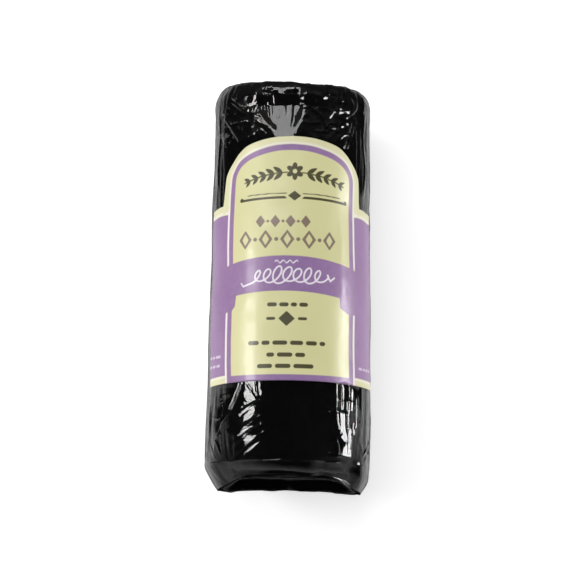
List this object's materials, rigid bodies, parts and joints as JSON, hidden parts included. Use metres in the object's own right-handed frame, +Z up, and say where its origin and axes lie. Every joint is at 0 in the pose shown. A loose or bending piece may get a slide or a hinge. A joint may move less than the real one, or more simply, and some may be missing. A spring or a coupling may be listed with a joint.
{
  "type": "ash goat cheese",
  "caption": "Soft goat cheese log coated in black ash, sealed in tight clear film, with an arched die-cut label over its crown.",
  "frame": {"origin": "centre of the footprint box, on the surface that the log lies on", "axes": "+Y along the log, towards the end above the label's arch; -Y towards the end with the film corners; +Z up, through the label; +X to the right when the label is read"},
  "size_m": [0.0474, 0.117, 0.0451],
  "materials": {
    "film": "clear glossy shrink film over a black ash rind",
    "cheese": "matt black ash rind, faintly mottled",
    "label": "semi-gloss coated paper, pale olive cream with mauve bands"
  },
  "bodies": {
    "root": {"wrapped_log": "film", "label": "label"}
  },
  "joints": []
}
